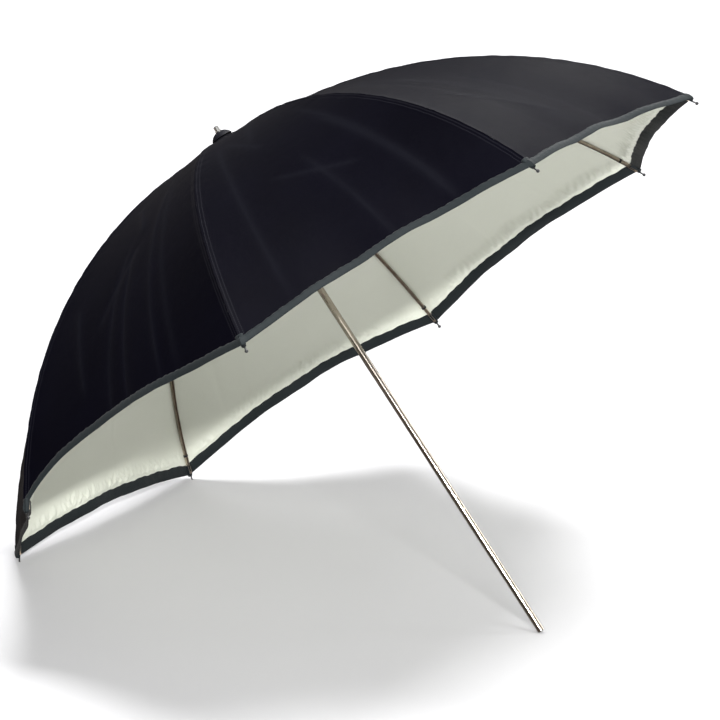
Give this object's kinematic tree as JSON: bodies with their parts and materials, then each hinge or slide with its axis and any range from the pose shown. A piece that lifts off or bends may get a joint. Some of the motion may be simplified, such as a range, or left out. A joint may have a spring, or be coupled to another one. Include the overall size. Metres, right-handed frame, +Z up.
{
  "type": "umbrella reflector",
  "caption": "Folding studio umbrella: white satin bowl under a removable black cover, on hinged ribs with a sliding runner and a straight shaft.",
  "frame": {"origin": "centre of the shaft's lower end, where a bracket slides on", "axes": "+Z up the shaft to the ferrule, rib 1 on +X"},
  "size_m": [0.9296, 0.9296, 0.667],
  "materials": {
    "shaft_metal": "polished",
    "dark_plastic": "satin",
    "rib_steel": "worn",
    "tip_black": "satin",
    "crown_metal": "satin",
    "ferrule_metal": "polished",
    "cap_black": "smooth",
    "white_satin": "satin",
    "black_cover": "matt woven",
    "runner_plastic": "satin"
  },
  "bodies": {
    "shaft": {"shaft_tube": "shaft_metal", "end_plug": "dark_plastic", "latch_rivet": "rib_steel", "crown_notch": "crown_metal", "crown_wire": "crown_metal", "cap": "cap_black", "ferrule": "ferrule_metal"},
    "latch": {"latch_catch": "rib_steel"},
    "runner": {"runner_tube": "runner_plastic", "runner_wire": "crown_metal"},
    "rib_1": {"rib_1": "rib_steel", "rib_tip_1": "tip_black", "satin_panel_1": "white_satin"},
    "stretcher_1": {"stretcher_1": "rib_steel"},
    "pleat_left_1": {"cover_left_1": "black_cover"},
    "pleat_right_1": {"cover_right_1": "black_cover"},
    "rib_2": {"rib_2": "rib_steel", "rib_tip_2": "tip_black", "satin_panel_2": "white_satin"},
    "stretcher_2": {"stretcher_2": "rib_steel"},
    "pleat_left_2": {"cover_left_2": "black_cover"},
    "pleat_right_2": {"cover_right_2": "black_cover"},
    "rib_3": {"rib_3": "rib_steel", "rib_tip_3": "tip_black", "satin_panel_3": "white_satin"},
    "stretcher_3": {"stretcher_3": "rib_steel"},
    "pleat_left_3": {"cover_left_3": "black_cover"},
    "pleat_right_3": {"cover_right_3": "black_cover"},
    "rib_4": {"rib_4": "rib_steel", "rib_tip_4": "tip_black", "satin_panel_4": "white_satin"},
    "stretcher_4": {"stretcher_4": "rib_steel"},
    "pleat_left_4": {"cover_left_4": "black_cover"},
    "pleat_right_4": {"cover_right_4": "black_cover"},
    "rib_5": {"rib_5": "rib_steel", "rib_tip_5": "tip_black", "satin_panel_5": "white_satin"},
    "stretcher_5": {"stretcher_5": "rib_steel"},
    "pleat_left_5": {"cover_left_5": "black_cover"},
    "pleat_right_5": {"cover_right_5": "black_cover"},
    "rib_6": {"rib_6": "rib_steel", "rib_tip_6": "tip_black", "satin_panel_6": "white_satin"},
    "stretcher_6": {"stretcher_6": "rib_steel"},
    "pleat_left_6": {"cover_left_6": "black_cover"},
    "pleat_right_6": {"cover_right_6": "black_cover"},
    "rib_7": {"rib_7": "rib_steel", "rib_tip_7": "tip_black", "satin_panel_7": "white_satin"},
    "stretcher_7": {"stretcher_7": "rib_steel"},
    "pleat_left_7": {"cover_left_7": "black_cover"},
    "pleat_right_7": {"cover_right_7": "black_cover"},
    "rib_8": {"rib_8": "rib_steel", "rib_tip_8": "tip_black", "satin_panel_8": "white_satin"},
    "stretcher_8": {"stretcher_8": "rib_steel"},
    "pleat_left_8": {"cover_left_8": "black_cover"},
    "pleat_right_8": {"cover_right_8": "black_cover"}
  },
  "joints": [
    {"name": "runner_slide", "type": "slide", "parent": "shaft", "child": "runner", "axis": [0, 0, -1], "range_m": [0, 0.26362], "deforming": ["satin_panel_1", "cover_left_1", "cover_right_1", "satin_panel_2", "cover_left_2", "cover_right_2", "satin_panel_3", "cover_left_3", "cover_right_3", "satin_panel_4", "cover_left_4", "cover_right_4", "satin_panel_5", "cover_left_5", "cover_right_5", "satin_panel_6", "cover_left_6", "cover_right_6", "satin_panel_7", "cover_left_7", "cover_right_7", "satin_panel_8", "cover_left_8", "cover_right_8", "latch_catch"]},
    {"name": "latch_press", "type": "slide", "parent": "shaft", "child": "latch", "axis": [0, 1, 0], "range_m": [0, 0.0026], "stiffness_N_per_m": 600, "springref_m": -0.002},
    {"name": "rib_1_hinge", "type": "hinge", "parent": "shaft", "child": "rib_1", "pos_m": [0.008, 0, 0.642], "axis": [0, 1, 0], "range_deg": [0, 59.25]},
    {"name": "stretcher_1_hinge", "type": "hinge", "parent": "rib_1", "child": "stretcher_1", "pos_m": [0.20613, 0, 0.60235], "axis": [0, 1, 0], "range_deg": [-105.91, 0]},
    {"name": "pleat_left_1_fold", "type": "hinge", "parent": "rib_1", "child": "pleat_left_1", "pos_m": [0.008, 0, 0.642], "axis": [-0.4063, -0.8841, -0.2308], "range_deg": [0, 29.24]},
    {"name": "pleat_right_1_fold", "type": "hinge", "parent": "rib_1", "child": "pleat_right_1", "pos_m": [0.008, 0, 0.642], "axis": [0.4063, -0.8841, 0.2308], "range_deg": [0, 29.24]},
    {"name": "rib_2_hinge", "type": "hinge", "parent": "shaft", "child": "rib_2", "pos_m": [0.00566, 0.00566, 0.642], "axis": [-0.7071, 0.7071, 0], "range_deg": [0, 59.25]},
    {"name": "stretcher_2_hinge", "type": "hinge", "parent": "rib_2", "child": "stretcher_2", "pos_m": [0.14575, 0.14575, 0.60235], "axis": [-0.7071, 0.7071, 0], "range_deg": [-105.91, 0]},
    {"name": "pleat_left_2_fold", "type": "hinge", "parent": "rib_2", "child": "pleat_left_2", "pos_m": [0.00566, 0.00566, 0.642], "axis": [0.3378, -0.9125, -0.2308], "range_deg": [0, 29.24]},
    {"name": "pleat_right_2_fold", "type": "hinge", "parent": "rib_2", "child": "pleat_right_2", "pos_m": [0.00566, 0.00566, 0.642], "axis": [0.9125, -0.3378, 0.2308], "range_deg": [0, 29.24]},
    {"name": "rib_3_hinge", "type": "hinge", "parent": "shaft", "child": "rib_3", "pos_m": [0, 0.008, 0.642], "axis": [-1, 0, 0], "range_deg": [0, 59.25]},
    {"name": "stretcher_3_hinge", "type": "hinge", "parent": "rib_3", "child": "stretcher_3", "pos_m": [0, 0.20613, 0.60235], "axis": [-1, 0, 0], "range_deg": [-105.91, 0]},
    {"name": "pleat_left_3_fold", "type": "hinge", "parent": "rib_3", "child": "pleat_left_3", "pos_m": [0, 0.008, 0.642], "axis": [0.8841, -0.4063, -0.2308], "range_deg": [0, 29.24]},
    {"name": "pleat_right_3_fold", "type": "hinge", "parent": "rib_3", "child": "pleat_right_3", "pos_m": [0, 0.008, 0.642], "axis": [0.8841, 0.4063, 0.2308], "range_deg": [0, 29.24]},
    {"name": "rib_4_hinge", "type": "hinge", "parent": "shaft", "child": "rib_4", "pos_m": [-0.00566, 0.00566, 0.642], "axis": [-0.7071, -0.7071, 0], "range_deg": [0, 59.25]},
    {"name": "stretcher_4_hinge", "type": "hinge", "parent": "rib_4", "child": "stretcher_4", "pos_m": [-0.14575, 0.14575, 0.60235], "axis": [-0.7071, -0.7071, 0], "range_deg": [-105.91, 0]},
    {"name": "pleat_left_4_fold", "type": "hinge", "parent": "rib_4", "child": "pleat_left_4", "pos_m": [-0.00566, 0.00566, 0.642], "axis": [0.9125, 0.3378, -0.2308], "range_deg": [0, 29.24]},
    {"name": "pleat_right_4_fold", "type": "hinge", "parent": "rib_4", "child": "pleat_right_4", "pos_m": [-0.00566, 0.00566, 0.642], "axis": [0.3378, 0.9125, 0.2308], "range_deg": [0, 29.24]},
    {"name": "rib_5_hinge", "type": "hinge", "parent": "shaft", "child": "rib_5", "pos_m": [-0.008, 0, 0.642], "axis": [0, -1, 0], "range_deg": [0, 59.25]},
    {"name": "stretcher_5_hinge", "type": "hinge", "parent": "rib_5", "child": "stretcher_5", "pos_m": [-0.20613, 0, 0.60235], "axis": [0, -1, 0], "range_deg": [-105.91, 0]},
    {"name": "pleat_left_5_fold", "type": "hinge", "parent": "rib_5", "child": "pleat_left_5", "pos_m": [-0.008, 0, 0.642], "axis": [0.4063, 0.8841, -0.2308], "range_deg": [0, 29.24]},
    {"name": "pleat_right_5_fold", "type": "hinge", "parent": "rib_5", "child": "pleat_right_5", "pos_m": [-0.008, 0, 0.642], "axis": [-0.4063, 0.8841, 0.2308], "range_deg": [0, 29.24]},
    {"name": "rib_6_hinge", "type": "hinge", "parent": "shaft", "child": "rib_6", "pos_m": [-0.00566, -0.00566, 0.642], "axis": [0.7071, -0.7071, 0], "range_deg": [0, 59.25]},
    {"name": "stretcher_6_hinge", "type": "hinge", "parent": "rib_6", "child": "stretcher_6", "pos_m": [-0.14575, -0.14575, 0.60235], "axis": [0.7071, -0.7071, 0], "range_deg": [-105.91, 0]},
    {"name": "pleat_left_6_fold", "type": "hinge", "parent": "rib_6", "child": "pleat_left_6", "pos_m": [-0.00566, -0.00566, 0.642], "axis": [-0.3378, 0.9125, -0.2308], "range_deg": [0, 29.24]},
    {"name": "pleat_right_6_fold", "type": "hinge", "parent": "rib_6", "child": "pleat_right_6", "pos_m": [-0.00566, -0.00566, 0.642], "axis": [-0.9125, 0.3378, 0.2308], "range_deg": [0, 29.24]},
    {"name": "rib_7_hinge", "type": "hinge", "parent": "shaft", "child": "rib_7", "pos_m": [0, -0.008, 0.642], "axis": [1, 0, 0], "range_deg": [0, 59.25]},
    {"name": "stretcher_7_hinge", "type": "hinge", "parent": "rib_7", "child": "stretcher_7", "pos_m": [0, -0.20613, 0.60235], "axis": [1, 0, 0], "range_deg": [-105.91, 0]},
    {"name": "pleat_left_7_fold", "type": "hinge", "parent": "rib_7", "child": "pleat_left_7", "pos_m": [0, -0.008, 0.642], "axis": [-0.8841, 0.4063, -0.2308], "range_deg": [0, 29.24]},
    {"name": "pleat_right_7_fold", "type": "hinge", "parent": "rib_7", "child": "pleat_right_7", "pos_m": [0, -0.008, 0.642], "axis": [-0.8841, -0.4063, 0.2308], "range_deg": [0, 29.24]},
    {"name": "rib_8_hinge", "type": "hinge", "parent": "shaft", "child": "rib_8", "pos_m": [0.00566, -0.00566, 0.642], "axis": [0.7071, 0.7071, 0], "range_deg": [0, 59.25]},
    {"name": "stretcher_8_hinge", "type": "hinge", "parent": "rib_8", "child": "stretcher_8", "pos_m": [0.14575, -0.14575, 0.60235], "axis": [0.7071, 0.7071, 0], "range_deg": [-105.91, 0]},
    {"name": "pleat_left_8_fold", "type": "hinge", "parent": "rib_8", "child": "pleat_left_8", "pos_m": [0.00566, -0.00566, 0.642], "axis": [-0.9125, -0.3378, -0.2308], "range_deg": [0, 29.24]},
    {"name": "pleat_right_8_fold", "type": "hinge", "parent": "rib_8", "child": "pleat_right_8", "pos_m": [0.00566, -0.00566, 0.642], "axis": [-0.3378, -0.9125, 0.2308], "range_deg": [0, 29.24]}
  ],
  "couplings": [
    {"joint": "rib_1_hinge", "follows": "runner_slide", "rad_per_m": 3.9194},
    {"joint": "stretcher_1_hinge", "follows": "runner_slide", "rad_per_m": -7.0085},
    {"joint": "pleat_left_1_fold", "follows": "runner_slide", "rad_per_m": 1.9326},
    {"joint": "pleat_right_1_fold", "follows": "runner_slide", "rad_per_m": 1.9326},
    {"joint": "rib_2_hinge", "follows": "runner_slide", "rad_per_m": 3.9194},
    {"joint": "stretcher_2_hinge", "follows": "runner_slide", "rad_per_m": -7.0085},
    {"joint": "pleat_left_2_fold", "follows": "runner_slide", "rad_per_m": 1.9326},
    {"joint": "pleat_right_2_fold", "follows": "runner_slide", "rad_per_m": 1.9326},
    {"joint": "rib_3_hinge", "follows": "runner_slide", "rad_per_m": 3.9194},
    {"joint": "stretcher_3_hinge", "follows": "runner_slide", "rad_per_m": -7.0085},
    {"joint": "pleat_left_3_fold", "follows": "runner_slide", "rad_per_m": 1.9326},
    {"joint": "pleat_right_3_fold", "follows": "runner_slide", "rad_per_m": 1.9326},
    {"joint": "rib_4_hinge", "follows": "runner_slide", "rad_per_m": 3.9194},
    {"joint": "stretcher_4_hinge", "follows": "runner_slide", "rad_per_m": -7.0085},
    {"joint": "pleat_left_4_fold", "follows": "runner_slide", "rad_per_m": 1.9326},
    {"joint": "pleat_right_4_fold", "follows": "runner_slide", "rad_per_m": 1.9326},
    {"joint": "rib_5_hinge", "follows": "runner_slide", "rad_per_m": 3.9194},
    {"joint": "stretcher_5_hinge", "follows": "runner_slide", "rad_per_m": -7.0085},
    {"joint": "pleat_left_5_fold", "follows": "runner_slide", "rad_per_m": 1.9326},
    {"joint": "pleat_right_5_fold", "follows": "runner_slide", "rad_per_m": 1.9326},
    {"joint": "rib_6_hinge", "follows": "runner_slide", "rad_per_m": 3.9194},
    {"joint": "stretcher_6_hinge", "follows": "runner_slide", "rad_per_m": -7.0085},
    {"joint": "pleat_left_6_fold", "follows": "runner_slide", "rad_per_m": 1.9326},
    {"joint": "pleat_right_6_fold", "follows": "runner_slide", "rad_per_m": 1.9326},
    {"joint": "rib_7_hinge", "follows": "runner_slide", "rad_per_m": 3.9194},
    {"joint": "stretcher_7_hinge", "follows": "runner_slide", "rad_per_m": -7.0085},
    {"joint": "pleat_left_7_fold", "follows": "runner_slide", "rad_per_m": 1.9326},
    {"joint": "pleat_right_7_fold", "follows": "runner_slide", "rad_per_m": 1.9326},
    {"joint": "rib_8_hinge", "follows": "runner_slide", "rad_per_m": 3.9194},
    {"joint": "stretcher_8_hinge", "follows": "runner_slide", "rad_per_m": -7.0085},
    {"joint": "pleat_left_8_fold", "follows": "runner_slide", "rad_per_m": 1.9326},
    {"joint": "pleat_right_8_fold", "follows": "runner_slide", "rad_per_m": 1.9326}
  ]
}
